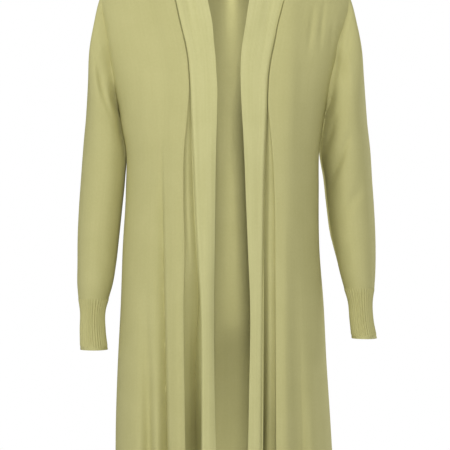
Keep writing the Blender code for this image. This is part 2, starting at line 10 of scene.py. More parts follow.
import bpy
import numpy as np
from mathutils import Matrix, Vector

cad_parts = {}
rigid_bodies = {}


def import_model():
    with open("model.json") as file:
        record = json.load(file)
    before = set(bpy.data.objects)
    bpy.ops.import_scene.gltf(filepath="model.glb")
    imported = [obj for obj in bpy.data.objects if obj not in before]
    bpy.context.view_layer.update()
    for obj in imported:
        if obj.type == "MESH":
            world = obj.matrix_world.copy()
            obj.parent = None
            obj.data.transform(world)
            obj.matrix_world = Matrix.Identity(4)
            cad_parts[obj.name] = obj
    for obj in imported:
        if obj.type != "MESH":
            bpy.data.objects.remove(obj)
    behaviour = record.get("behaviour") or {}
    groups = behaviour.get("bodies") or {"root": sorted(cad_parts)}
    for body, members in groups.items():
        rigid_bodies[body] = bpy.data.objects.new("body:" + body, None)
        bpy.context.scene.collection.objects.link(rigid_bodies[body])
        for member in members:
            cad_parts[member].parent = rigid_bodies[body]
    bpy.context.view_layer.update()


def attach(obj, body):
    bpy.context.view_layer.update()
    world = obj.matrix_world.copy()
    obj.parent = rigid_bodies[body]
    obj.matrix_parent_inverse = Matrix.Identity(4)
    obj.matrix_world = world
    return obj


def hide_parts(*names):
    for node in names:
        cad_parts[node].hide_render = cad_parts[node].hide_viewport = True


for old in list(bpy.data.objects):
    bpy.data.objects.remove(old)
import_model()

MM = 0.001

WALL = 1.3

# Folded edges beside a pleat: the radius, how far the cloth behind an edge lies back from
# it and where it turns onto the face (in radii), and how finely it is rounded
FOLD_RADIUS = 2.2
FOLD_BACK = 1.6
FOLD_TURN = 0.3
FOLD_POINTS = 5
FOLD_STEPS = 5

# How far a band lies behind the panel's face, and its cloth behind its folded edge
BAND_RECESS = 1.5
BAND_SINK = 1.0

# A pleat's floor: where its middle lies from the foot, and the narrowest opening over it
FLOOR_MIDDLE = 0.45
MIN_OPENING = 0.9

# Lengths below the origin
CHEST_DROP = 160.0
UNDERARM_DROP = 283.0
HEM_SEAM_DROP = 890.0
HEM_DROP = 920.0

# Shoulder line and neckline
NECK_SEAM_DROP = 9.0
NECK_SEAM_OUT = 105.0
TIP_DROP = 57.0
TIP_OUT = 214.0
NECK_BACK = 70.0
COLLAR_HALF_WIDTH = 57.0
COLLAR_BACK = 60.0
COLLAR_FORWARD = 3.0
COLLAR_SIDE_RISE = 22.0
COLLAR_BACK_RISE = 15.0
COLLAR_ROLL = 5.0
COLLAR_SINK = 0.5
NECK_OVERLAP = (0.7, -1.8)
NECK_LEAN = 2.5
NECK_ROUNDNESS = 2.2
TRIM_HALVINGS = 22
SHOULDER_FULLNESS = 0.62
NECK_FULLNESS = 0.95
CHEST_PULL = 0.5
CHEST_LEAN = 0.1
# The free edge of a band above the chest, as the handles of a curve (forward, up)
EDGE_CURVE = (
    (3.0, COLLAR_SIDE_RISE),
    (36.0, COLLAR_SIDE_RISE - 4.0),
    (96.0, 58.0 - CHEST_DROP),
    (99.0, -CHEST_DROP),
)

# Stations round the neck, the steps before the first and between the others, and how much
# of the pleat's shape is left in the band at each
NECK_STATIONS = 10
COLLAR_STEPS = (8, 4)
FOLD_FADE = ((1, 2, 3), (0.2, 0.05, 0.0))

# The CAD model's rows, which the finer rows here lie between, and the points across
ARMHOLE_ROWS = (0.0, 0.22, 0.46, 0.72, 1.0, 192.0, 222.0, 247.0, 265.0, 277.0, 283.0)
ROW_STEPS = 8
BODY_STEP = 4.0
FRONT_COLUMNS = 114
BACK_COLUMNS = 56
NECK_COLUMNS = 48
SEAM_CROWDING = 1.8
SHARP_ANGLE = math.radians(60)
BAND_ACROSS = (0.0, 0.3, 0.65, 1.0)
BAND_STEPS = 10


def table(columns, rows):
    """The rows as one array for each named column."""
    return dict(zip(columns, np.array(rows, float).T))


def tables(columns, named_rows):
    """A table with the same columns for each name."""
    return {name: table(columns, rows) for name, rows in named_rows.items()}


# The body: how far out its sides lie, how far it reaches to the front and back, and the
# power of its rounded section
TORSO = table(
    ("drop", "left", "right", "front", "back", "roundness"),
    (
        (160, 217, 222, 100, 92, 2.2),
        (222, 194, 203, 116, 102, 2.3),
        (283, 177, 187.5, 124, 107, 2.5),
        (306, 173, 184.5, 124, 107, 2.5),
        (340, 168, 177, 124, 106, 2.6),
        (420, 166.5, 176, 120, 103, 2.4),
        (520, 167.5, 181.5, 122, 108, 2.4),
        (620, 175, 185, 127, 117, 2.4),
        (720, 180, 190, 132, 126, 2.4),
        (820, 186.5, 193.5, 136, 133, 2.4),
        (920, 192.5, 194.5, 138, 138, 2.4),
    ),
)
# The armholes, out from the centre
ARMHOLE = table(
    ("drop", "left", "right"),
    (
        (57, 214, 214),
        (94, 218, 217),
        (125, 210, 211.5),
        (160, 198.5, 206),
        (192, 193.5, 201),
        (222, 186, 195.5),
        (247, 182, 193),
        (265, 179.5, 190),
        (283, 177, 187.5),
    ),
)
# The pleats, out from the centre: the folded edge of the panel, the folded edge of the
# band and the free edge of the band
PLEAT_COLUMNS = ("drop", "panel_fold", "band_fold", "free_edge")
PLEAT = tables(PLEAT_COLUMNS, {
    "right": (
        (-32, 102.0, 101.0, 57.0),
        (9, 102.0, 101.0, 44.0),
        (93, 85.8, 84.8, 29.2),
        (127, 78.4, 77.4, 22.4),
        (160, 70.5, 69.5, 19.4),
        (193, 64.6, 63.6, 16.2),
        (217, 62.6, 61.6, 14.8),
        (241, 61.2, 60.0, 13.4),
        (286, 63.6, 58.4, 13.8),
        (351, 69.4, 55.6, 15.5),
        (437, 70.6, 52.2, 16.7),
        (523, 68.6, 47.8, 17.7),
        (609, 70.1, 43.0, 18.9),
        (781, 68.4, 40.6, 17.5),
        (920, 66.5, 40.6, 14.0),
    ),
    "left": (
        (-32, 116.0, 115.0, 60.0),
        (9, 116.0, 115.0, 55.0),
        (93, 102.0, 101.0, 41.3),
        (136, 91.3, 90.3, 34.9),
        (167, 85.8, 84.8, 29.9),
        (191, 80.7, 79.7, 27.5),
        (215, 76.9, 75.9, 26.8),
        (248, 74.6, 73.5, 27.2),
        (275, 74.0, 72.6, 28.4),
        (311, 77.0, 71.4, 30.6),
        (351, 80.8, 69.6, 32.7),
        (437, 85.0, 67.4, 36.1),
        (523, 86.0, 66.2, 39.6),
        (609, 86.4, 65.6, 43.0),
        (781, 87.0, 64.6, 41.1),
        (920, 87.4, 63.6, 38.5),
    ),
})
# The floor of the pleats: how deep its foot lies and how far across the pleat from the
# band, how deep the middle of the floor lies, and how far it sinks behind the folded edges
FLOOR_COLUMNS = ("drop", "deep", "across", "level", "sink")
PLEAT_FLOOR = tables(FLOOR_COLUMNS, {
    "right": (
        (-32, 4, 0.4, 4, 2.0),
        (300, 8, 0.15, 5, 2.0),
        (437, 10, 0.12, 4, 3.0),
        (523, 13, 0.12, 6, 2.5),
        (609, 27, 0.12, 18, 1.0),
        (695, 40, 0.36, 25, 1.0),
        (781, 54, 0.40, 31, 1.0),
        (860, 78, 0.40, 45, 1.0),
        (920, 84, 0.40, 48, 1.0),
    ),
    "left": (
        (-32, 4, 0.4, 4, 2.0),
        (300, 10, 0.06, 5, 1.5),
        (609, 17, 0.05, 6, 7.0),
        (695, 26, 0.05, 10, 11.0),
        (781, 38, 0.05, 16, 17.0),
        (860, 58, 0.05, 25, 26.0),
        (920, 58, 0.05, 25, 26.0),
    ),
})
# The main folds of the panels, pressed inward by their depth (ridges negative)
FOLD_COLUMNS = ("out_top", "out_foot", "start", "full", "half_width", "depth")
FOLDS = tables(FOLD_COLUMNS, {
    "front_right": (
        (101, 98, 330, 860, 9, 3.5),
        (80, 78, 300, 620, 13, -3.0),
        (128, 132, 560, 900, 11, 4.5),
        (118, 117, 620, 900, 8, -2.5),
    ),
    "front_left": (
        (116, 125, 420, 860, 11, 4.5),
        (103, 104, 330, 700, 12, -3.0),
        (138, 143, 640, 900, 10, 3.5),
    ),
    "back_right": (
        (70, 84, 420, 860, 15, 8.0),
        (118, 136, 520, 900, 12, 7.0),
    ),
    "back_left": (
        (34, 40, 460, 880, 17, 5.0),
        (96, 110, 380, 840, 15, 8.5),
    ),
})
# The rings of the sleeves and cuffs, flattened towards the body
SLEEVE_COLUMNS = ("drop", "outer", "inner", "forward", "half_depth", "flatness")
SLEEVE = tables(SLEEVE_COLUMNS, {
    "right": (
        (300, 247.8, 183.0, 0, 56, 3.0),
        (320, 249.9, 179.6, -1, 56, 3.0),
        (342, 251.9, 176.0, -2, 55, 3.0),
        (400, 256.3, 178.0, -3, 52, 2.6),
        (450, 259.7, 182.8, -2, 50, 2.2),
        (500, 261.7, 187.8, 2, 47, 2.0),
        (550, 261.7, 193.3, 7, 43, 2.0),
        (585, 261.7, 199.0, 11, 38, 2.0),
        (608, 259.8, 205.5, 13, 33, 2.0),
    ),
    "left": (
        (300, 252.8, 173.4, 0, 56, 2.3),
        (320, 255.2, 169.8, -1, 56, 2.2),
        (342, 257.8, 168.0, -2, 55, 2.1),
        (400, 261.7, 176.2, -3, 52, 2.0),
        (450, 265.0, 181.4, -1, 50, 2.0),
        (500, 267.0, 188.0, 4, 47, 2.0),
        (545, 267.0, 199.2, 9, 43, 2.0),
        (570, 266.0, 205.0, 12, 38, 2.0),
        (590, 264.6, 210.5, 14, 33, 2.0),
    ),
})
CUFF = tables(SLEEVE_COLUMNS, {
    "right": (
        (608, 259.8, 205.5, 13, 33, 2.0),
        (630, 256.3, 211.8, 14, 30, 2.0),
        (667, 256.3, 211.8, 17, 30, 2.0),
        (700, 255.4, 207.5, 20, 32, 2.0),
    ),
    "left": (
        (590, 264.6, 210.5, 14, 33, 2.0),
        (614, 260.8, 217.8, 15, 30, 2.0),
        (646, 261.9, 220.9, 17, 30, 2.0),
        (680, 268.2, 224.3, 20, 32, 2.0),
    ),
})
SLEEVE_STEP = 4.0
FLAT_TURN = 2.5

# The sleeve heads: how the cloth leaves the armhole and comes to the first ring, and how
# much is taken off it outside
HEAD_STEPS = 26
HEAD_START = 0.28
HEAD_END = 0.42
HEAD_OUTWARD = {"all": 0.23, "front_and_back": 0.67, "outer": 0.22}
HEAD_DOWN = {"all": 0.5, "outer_and_inner": 0.45}
HEAD_FORWARD = 0.35
HEAD_TUCK = 0.08
HEAD_TRIM = 4.8
HEAD_TRIM_DROP = 128.0
HEAD_TRIM_REACH = 48.0
HEAD_TRIM_OUT = (212.0, 26.0)

# Ribs: on the cuffs by their number, and on the hem by their width. They rise over the
# first share of the height, and fade over the second up to the third
CUFF_RIBS = 32
CUFF_ROWS = 46
CUFF_POINTS_A_RIB = 10
CUFF_RIB_DEPTH = 1.8
CUFF_FADE = (0.06, 0.03, 0.95)
CUFF_BORDER = 0.4
CUFF_BORDER_START = 0.94
HEM_RIB = 3.4
HEM_ROWS = 14
HEM_POINTS_A_RIB = 6
HEM_RIB_DEPTH = 1.0
HEM_FADE = (0.15, 0.05, 1.0)

OUT = {"left": 1.0, "right": -1.0}

# The photograph's camera, in millimetres, and its frame in pixels
PHOTO_SIDE = 450
CAMERA_DISTANCE = 3600.0
CAMERA_DROP = 480.0
FIELD = 800.0
PHOTO_CENTRE = (224.5, 225.0)


def curved(start, end, start_slope, end_slope, span, t):
    """Where a cubic curve between two points with their slopes is at a share."""
    start_weight = 2 * t**3 - 3 * t**2 + 1
    bend = (t**3 - 2 * t**2 + t) * start_slope + (t**3 - t**2) * end_slope
    return start_weight * start + (1 - start_weight) * end + span * bend


def read(sheet, column, drop):
    """A column of a table at a drop or drops, on a smooth curve through its rows."""
    knots = sheet["drop"]
    values = sheet[column]
    slopes = np.gradient(values, knots)
    drop = np.clip(drop, knots[0], knots[-1])
    index = np.clip(np.searchsorted(knots, drop, side="right") - 1, 0, len(knots) - 2)
    after = index + 1
    span = knots[after] - knots[index]
    t = (drop - knots[index]) / span
    return curved(values[index], values[after], slopes[index], slopes[after], span, t)


def bezier(a, b, c, d, t):
    """Points on a cubic curve."""
    t = np.asarray(t, float)[..., None]
    u = 1 - t
    return a * u**3 + b * 3 * u**2 * t + c * 3 * u * t**2 + d * t**3


def unit(vectors):
    """The vectors at length one."""
    return vectors / np.maximum(np.linalg.norm(vectors, axis=-1, keepdims=True), 1e-9)


def ease(share):
    """A share from 0 to 1 with a soft start and end."""
    share = np.clip(share, 0.0, 1.0)
    return share * share * (3 - 2 * share)


def pair(first, second):
    """Two numbers or arrays as one array of points."""
    return np.stack(np.broadcast_arrays(np.asarray(first, float), second), axis=-1)


def smooth_between(points, counts, axis):
    """The points with each interval along an axis cut into its count on a smooth curve."""
    points = np.moveaxis(points, axis, 0)
    steps = np.diff(points, axis=0)
    lengths = np.maximum(np.linalg.norm(steps, axis=-1, keepdims=True), 1e-6)
    slopes = steps / lengths
    total = lengths[:-1] + lengths[1:]
    inner = (slopes[:-1] * lengths[1:] + slopes[1:] * lengths[:-1]) / total
    tangents = np.concatenate((slopes[:1], inner, slopes[-1:]))
    result = []
    for index, count in enumerate(counts):
        ends = (*points[index : index + 2], *tangents[index : index + 2], lengths[index])
        result += [curved(*ends, part / count) for part in range(count)]
    result.append(points[-1])
    return np.moveaxis(np.array(result), 0, axis)


def section_depth(side, face, out, drop):
    """How far the torso lies before or behind the side seams at distances out."""
    half = read(TORSO, side, drop)
    power = read(TORSO, "roundness", drop)
    share = np.minimum(np.abs(out) / half, 1.0)
    return read(TORSO, face, drop) * (1 - share**power) ** (1 / power)


def outer_edge(side, drop):
    """The armhole, or the side seam below it, as a distance out."""
    armhole = read(ARMHOLE, side, drop)
    return np.where(np.asarray(drop) < UNDERARM_DROP, armhole, read(TORSO, side, drop))


def ridge_drop(out):
    """The drop of the shoulder seam at a distance out."""
    share = (out - NECK_SEAM_OUT) / (TIP_OUT - NECK_SEAM_OUT)
    return NECK_SEAM_DROP + (TIP_DROP - NECK_SEAM_DROP) * share


def fold_line(side, drop):
    """Where the flat of a front begins, beside its folded edge."""
    return read(PLEAT[side], "panel_fold", drop) + FOLD_RADIUS


def fold_shift(name, out, drop):
    """How far the main folds of a panel move it inward."""
    shift = 0.0
    sheet = FOLDS[name]
    for index in range(len(sheet["depth"])):
        fold = {column: values[index] for column, values in sheet.items()}
        along = (drop - fold["start"]) / (fold["full"] - fold["start"])
        straight = min(max(along, 0.0), 1.0)
        place = fold["out_top"] + (fold["out_foot"] - fold["out_top"]) * straight
        profile = np.exp(-(((out - place) / fold["half_width"]) ** 2))
        shift = shift + fold["depth"] * ease(along) * profile
    return shift


def yoke_curve(top_drop, depth, row, fullness=SHOULDER_FULLNESS):
    """Points (forward, up) on the curve from the shoulder seam down to the chest."""
    top_drop, depth, fullness = np.broadcast_arrays(
        np.asarray(top_drop, float), np.asarray(depth, float), np.asarray(fullness, float)
    )
    rise = CHEST_DROP - top_drop
    top = pair(0.0, -top_drop)
    foot = pair(depth, -CHEST_DROP)
    leave = pair(fullness * depth, 0.0)
    pull = pair(-CHEST_LEAN * rise, CHEST_PULL * rise)
    return bezier(top, top + leave, foot + pull, foot, np.broadcast_to(row, rise.shape))


def panel_points(side, face, across, row):
    """Points (out, forward, up) across the outer face of a front or half of the back.

    A row up to 1 is a fraction of the yoke, and a larger one is a drop.
    """
    drop = max(row, CHEST_DROP)
    inner = fold_line(side, drop)
    out = inner + (outer_edge(side, drop) - inner) * across
    depth = section_depth(side, face, out, drop) - fold_shift(f"{face}_{side}", out, drop)
    if row > 1:
        return np.stack((out, depth, np.full_like(out, -drop)), axis=-1)
    neck_out = fold_line(side, NECK_SEAM_DROP)
    curve = yoke_curve(ridge_drop(neck_out + (TIP_OUT - neck_out) * across), depth, row)
    line = neck_out + (inner - neck_out) * ease(row)
    if face == "front":
        fold_depth = section_depth(side, face, inner, CHEST_DROP)
        fold_drop = -yoke_curve(ridge_drop(neck_out), fold_depth, row)[1]
        correction = neck_out - fold_line(side, ridge_drop(neck_out))
        line = fold_line(side, fold_drop) + correction * (1 - row)
    edge = outer_edge(side, -yoke_curve(TIP_DROP, depth, row)[..., 1])
    return np.stack((line + (edge - line) * across, curve[..., 0], curve[..., 1]), axis=-1)


def row_normal(side, row):
    """The outward direction (forward, up) of a front at its pleat."""
    step = 0.02
    if row > 1:
        return np.array((1.0, 0.0))
    if row < step:
        return np.array((0.0, 1.0))
    at_fold = np.zeros(1)
    before = panel_points(side, "front", at_fold, row - step)[0]
    after = panel_points(side, "front", at_fold, min(row + step, 1.0))[0]
    tangent = unit((after - before)[1:])
    return np.array((-tangent[1], tangent[0]))


def pleat_parts(side, row):
    """The pleat at a row: where the panel's face starts, the direction out of the cloth
    there, the two folded edges, how far out the foot lies, and the floor's three depths."""
    start = panel_points(side, "front", np.zeros(1), row)[0]
    drop = -start[2]
    normal = row_normal(side, row)
    opening = read(PLEAT[side], "panel_fold", drop) - read(PLEAT[side], "band_fold", drop)
    panel_fold = start[0] - FOLD_RADIUS
    band_fold = panel_fold - max(opening, MIN_OPENING)
    foot_out = band_fold + (panel_fold - band_fold) * read(PLEAT_FLOOR[side], "across", drop)
    floor = [read(PLEAT_FLOOR[side], column, drop) for column in ("deep", "level", "sink")]
    return start, normal, panel_fold, band_fold, foot_out, *floor


def lowered(start, normal, out, depth):
    """A point at a distance out, a depth below the face at the start point."""
    return np.array((out, start[1] - depth * normal[0], start[2] - depth * normal[1]))


def folded_edge(start, normal, edge, foot, recess, sink, level=None):
    """The cloth from the foot of a pleat round its folded edge to the face."""
    radius = math.copysign(FOLD_RADIUS, edge - foot[0])
    behind = lowered(start, normal, edge + FOLD_BACK * radius, 2 * FOLD_RADIUS + sink + recess)
    turn_depth = FOLD_TURN * FOLD_RADIUS + recess
    middle = foot + (behind - foot) * FLOOR_MIDDLE
    if level is not None:
        middle = lowered(start, normal, middle[0], level)
    return [
        foot,
        middle,
        behind,
        lowered(start, normal, edge, FOLD_RADIUS + recess),
        lowered(start, normal, edge + FOLD_TURN * radius, turn_depth),
    ]


def columns_across(count):
    """Places from the pleat or neck to the side seam, closer together near the seam."""
    return 1 - (1 - np.linspace(0.0, 1.0, count)) ** SEAM_CROWDING


def front_section(side, row):
    """A front's outer face at a row, from the foot of the pleat to the outer seam."""
    start, normal, panel_fold, _, foot_out, deep, level, sink = pleat_parts(side, row)
    foot = lowered(start, normal, foot_out, deep)
    fold = folded_edge(start, normal, panel_fold, foot, 0.0, sink, level)
    across = columns_across(FRONT_COLUMNS)
    return np.concatenate((fold, panel_points(side, "front", across, row)))


def free_edge(side, row):
    """The free edge of a band at a row."""
    if row > 1:
        out = read(PLEAT[side], "free_edge", row)
        return np.array((out, section_depth(side, "front", out, row) - BAND_RECESS, -row))
    curve = (np.array(point) for point in EDGE_CURVE)
    forward, up = bezier(*curve, row)
    return np.array((read(PLEAT[side], "free_edge", -up), forward, up))


def band_section(side, row):
    """A band's outer face at a row, from the foot of the pleat to its free edge."""
    start, normal, _, band_fold, foot_out, deep, _, _ = pleat_parts(side, row)
    lean = NECK_LEAN * max(1 - row, 0) ** 2
    foot = lowered(start, normal, foot_out - lean, deep)
    first = lowered(start, normal, band_fold - FOLD_RADIUS, BAND_RECESS)
    last = free_edge(side, row)
    points = folded_edge(start, normal, band_fold, foot, BAND_RECESS, BAND_SINK)
    for across in BAND_ACROSS:
        point = first + (last - first) * across
        if row > 1 and across < 1:
            point[1] = section_depth(side, "front", point[0], row) - BAND_RECESS
        points.append(point)
    return np.array(points)


def roundness(turn):
    """How far back the neckline lies at a turn, as a share of its depth."""
    return (1 - np.minimum(np.abs(turn), 1) ** NECK_ROUNDNESS) ** (1 / NECK_ROUNDNESS)


def neck_trim(top_drop, depth, fullness, turn):
    """How far down the yoke's curves the neckline lies."""
    neck_depth = NECK_BACK * roundness(turn)
    start = np.zeros_like(depth)
    end = np.ones_like(depth)
    for _ in range(TRIM_HALVINGS):
        middle = (start + end) / 2
        before = yoke_curve(top_drop, depth, middle, fullness)[..., 0] < neck_depth
        start = np.where(before, middle, start)
        end = np.where(before, end, middle)
    return start


def neck_columns(turn, row):
    """Points (x, backward, up) of the back below places on the neckline."""
    turn = np.asarray(turn, float)
    share = (turn + 1) / 2
    drop = max(row, CHEST_DROP)
    foot_x = fold_line("left", drop) * share - fold_line("right", drop) * (1 - share)
    shifts = {side: fold_shift(f"back_{side}", np.abs(foot_x), drop) for side in OUT}
    depths = {side: section_depth(side, "back", foot_x, drop) - shifts[side] for side in OUT}
    depth = np.where(foot_x > 0, depths["left"], depths["right"])
    if row > 1:
        return np.stack((foot_x, depth, np.full_like(foot_x, -drop)), axis=-1)
    right = -fold_line("right", NECK_SEAM_DROP)
    left = fold_line("left", NECK_SEAM_DROP)
    top_x = right + (left - right) * share
    top_drop = ridge_drop(-right) * (1 - share) + ridge_drop(left) * share
    fullness = NECK_FULLNESS + (SHOULDER_FULLNESS - NECK_FULLNESS) * np.abs(turn) ** 3
    start = neck_trim(top_drop, depth, fullness, turn)
    along = start + (1 - start) * row
    curve = yoke_curve(top_drop, depth, along, fullness)
    x = top_x + (foot_x - top_x) * ease(along)
    return np.stack((x, curve[..., 0], curve[..., 1]), axis=-1)


def to_world(points, side, face):
    """Points (out, depth, up) of one side as world coordinates."""
    forward = -1.0 if face == "front" else 1.0
    return points * np.array((OUT[side], forward, 1.0))


def back_section(row):
    """The back's outer face at a row, from the right outer seam to the left one."""
    across = columns_across(BACK_COLUMNS)
    right = to_world(panel_points("right", "back", across[::-1], row), "right", "back")
    left = to_world(panel_points("left", "back", across, row), "left", "back")
    stations = np.linspace(0.0, math.pi, NECK_COLUMNS + 2)[1:-1]
    return np.concatenate((right, neck_columns(-np.cos(stations), row), left))


def neck_section(turn, offsets, weight):
    """A band's section behind the neck, eased out of its pleat at the shoulder."""
    seam = neck_columns(np.array([turn]), 0.0)[0]
    middle = (fold_line("left", NECK_SEAM_DROP) - fold_line("right", NECK_SEAM_DROP)) / 2
    backward = (COLLAR_BACK + COLLAR_FORWARD) * roundness(turn) - COLLAR_FORWARD
    edge_x = middle * (1 - abs(turn)) + turn * COLLAR_HALF_WIDTH
    rise = COLLAR_BACK_RISE + (COLLAR_SIDE_RISE - COLLAR_BACK_RISE) * turn * turn
    edge = np.array((edge_x, backward, rise))
    inward = unit((edge - seam) * (1, 1, 0))
    points = []
    for share, offset in zip(np.linspace(0.0, 1.0, len(offsets)), offsets * weight):
        roll = COLLAR_ROLL * math.sin(math.pi * share)
        point = seam + (edge - seam) * share - (inward + (0, 0, COLLAR_SINK)) * roll
        points.append(point + inward * offset[0] + (0, 0, offset[1]))
    points[0] = seam + inward * NECK_OVERLAP[0] + (0, 0, NECK_OVERLAP[1])
    return np.array(points)


def armhole_rows():
    """The rows from the shoulder seam down to the underarm."""
    rows = []
    for start, end in zip(ARMHOLE_ROWS, ARMHOLE_ROWS[1:]):
        start = CHEST_DROP if start == 1.0 else start
        rows += [start + (end - start) * part / ROW_STEPS for part in range(ROW_STEPS)]
    return rows


def body_rows(foot):
    """The rows from the shoulder seam down to a foot."""
    count = round((foot - UNDERARM_DROP) / BODY_STEP)
    return armhole_rows() + list(np.linspace(UNDERARM_DROP, foot, count + 1))


def front_grid(side, rows):
    """The outer face of a front over the rows, with its folded edge rounded."""
    grid = np.array([to_world(front_section(side, row), side, "front") for row in rows])
    rounded = grid[:, : FOLD_POINTS + 2]
    fold = smooth_between(rounded, [FOLD_STEPS] * FOLD_POINTS + [1], axis=1)
    return np.concatenate((fold[:, :-1], grid[:, FOLD_POINTS + 1 :]), axis=1)


def band_grid(side):
    """The whole outer face of a band, from the hem to the middle of the back neck."""
    rows = body_rows(HEM_DROP)[::-1]
    grid = [to_world(band_section(side, row), side, "front") for row in rows]
    ridge = grid[-1]
    inward = np.array((-OUT[side], 0.0, 0.0))
    shares = np.linspace(0.0, 1.0, len(ridge))[:, None]
    away = ridge - (ridge[0] + (ridge[-1] - ridge[0]) * shares)
    offsets = np.stack((away @ inward, away[:, 2]), axis=-1)
    collar = [ridge]
    for station in np.arange(1.0, NECK_STATIONS / 2 + 0.1, 0.5):
        turn = math.cos(math.pi * station / NECK_STATIONS) * OUT[side]
        weight = np.interp(station, *FOLD_FADE)
        collar.append(neck_section(turn, offsets, weight))
    first, later = COLLAR_STEPS
    collar = smooth_between(np.array(collar), [first] + [later] * (len(collar) - 2), axis=0)
    grid = np.concatenate((np.array(grid), collar[1:]))
    counts = [FOLD_STEPS] * FOLD_POINTS + [BAND_STEPS] * (len(BAND_ACROSS) - 1)
    grid = smooth_between(grid, counts, axis=1)
    from_edge = np.linalg.norm(grid - grid[:, -1:], axis=-1)
    drops, curls = np.array(EDGE_CURL[side]).T
    curl = np.interp(-grid[:, -1, 2], drops, curls)[:, None]
    near = np.clip(1 - from_edge / EDGE_CURL_WIDTH, 0.0, 1.0) ** 2
    grid[..., 1] += near * curl
    return grid


def ring_points(side, sheet, drop, turn):
    """Points of a sleeve or cuff ring, turned from its outer edge over the front.

    The flatness of its section is only on the side of the body.
    """
    outer = read(sheet, "outer", drop)
    inner = read(sheet, "inner", drop)
    cosine, sine = np.cos(turn), np.sin(turn)
    flat = 2.0 / read(sheet, "flatness", drop)
    power = 1.0 + (flat - 1.0) * ease(0.5 - FLAT_TURN * cosine)
    aside = np.sign(cosine) * np.abs(cosine) ** power
    ahead = np.sign(sine) * np.abs(sine) ** power
    out = (outer + inner) / 2 + (outer - inner) / 2 * aside
    forward = read(sheet, "forward", drop) + read(sheet, "half_depth", drop) * ahead
    points = np.stack((out, forward, np.full_like(out, -drop)), axis=-1)
    return to_world(points, side, "front")


def sleeve_grid(side, front, back):
    """The outer face of a sleeve, from the armhole to the cuff seam."""
    count = len(armhole_rows()) + 1
    back_edge = back[:count, -1 if side == "left" else 0]
    start = np.concatenate((front[:count, -1], back_edge[-2:0:-1]))
    turns = np.linspace(0.0, 2 * math.pi, len(start), endpoint=False)
    sheet = SLEEVE[side]
    first, last = sheet["drop"][0], sheet["drop"][-1]
    drops = np.linspace(first, last, round((last - first) / SLEEVE_STEP) + 1)
    rings = [ring_points(side, sheet, drop, turns) for drop in drops]
    end = rings[0]
    cosine, sine = np.cos(turns)[:, None], np.sin(turns)[:, None]
    outward = np.array((OUT[side], 0.0, 0.0))
    forward = np.array((0.0, -1.0, 0.0))
    upward = np.array((0.0, 0.0, 1.0))
    fall = HEAD_DOWN["all"] + HEAD_DOWN["outer_and_inner"] * cosine**2
    spread = HEAD_OUTWARD["all"] + HEAD_OUTWARD["front_and_back"] * sine**2
    spread = spread + HEAD_OUTWARD["outer"] * cosine
    leave = unit(outward * spread + forward * sine * HEAD_FORWARD - upward * fall)
    arrive = upward - outward * HEAD_TUCK * np.maximum(cosine, 0.0)
    reach = np.linalg.norm(end - start, axis=-1, keepdims=True)
    handles = (start + leave * reach * HEAD_START, end + arrive * reach * HEAD_END)
    head = []
    for step in range(HEAD_STEPS):
        share = np.full(len(start), step / HEAD_STEPS)
        head.append(bezier(start, *handles, end, share))
    grid = np.array(head + rings)
    out, drop = grid[..., 0] * OUT[side], -grid[..., 2]
    trim = HEAD_TRIM * np.exp(-(((drop - HEAD_TRIM_DROP) / HEAD_TRIM_REACH) ** 2))
    grid[..., 0] -= OUT[side] * trim * ease((out - HEAD_TRIM_OUT[0]) / HEAD_TRIM_OUT[1])
    return grid


def directions(grid, closed):
    """The outward direction at each point of a grid."""
    if closed:
        along = np.roll(grid, -1, axis=1) - np.roll(grid, 1, axis=1)
        outside = grid - grid.mean(axis=1, keepdims=True)
    else:
        along = np.gradient(grid, axis=1)
        outside = grid - np.array((0.0, 0.0, -HEM_DROP / 2))
    down = np.gradient(grid, axis=0)
    normals = unit(np.cross(along, down))
    if (normals * outside).sum() < 0:
        normals = -normals
    return normals


